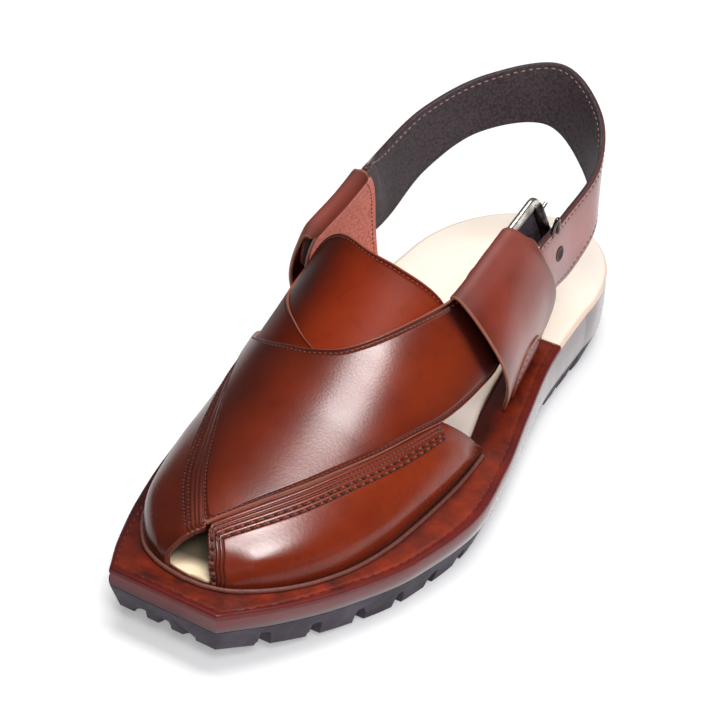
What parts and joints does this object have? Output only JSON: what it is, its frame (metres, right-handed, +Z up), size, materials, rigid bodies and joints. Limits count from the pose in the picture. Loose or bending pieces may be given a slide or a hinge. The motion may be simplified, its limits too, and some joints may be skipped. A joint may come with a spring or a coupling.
{
  "type": "peshawari chappal",
  "caption": "Left leather sandal with a closed crossed-band vamp and peep toe, side wings that loop a buckled heel strap, and a thick lugged sole; it is worn on the foot.",
  "frame": {"origin": "middle of the footprint on the floor, under the middle of the outer box", "axes": "+Z up, +Y towards the heel, toe towards -Y, +X towards the lateral (buckle) side of this left shoe"},
  "size_m": [0.1126, 0.2918, 0.1043],
  "materials": {
    "outsole_rubber": "matt moulded rubber",
    "midsole_edge": "stained and burnished edge",
    "welt_leather": "waxed red-brown leather",
    "insole_lining": "pale smooth lining",
    "upper_leather": "polished cognac leather",
    "strap_leather": "polished cognac leather with a dark lining",
    "buckle_steel": "worn polished steel"
  },
  "bodies": {
    "root": {"outsole": "outsole_rubber", "midsole": "midsole_edge", "welt": "welt_leather", "insole": "insole_lining", "upper": "upper_leather", "heel_strap": "strap_leather", "buckle_frame": "buckle_steel", "buckle_prong": "buckle_steel"}
  },
  "joints": []
}
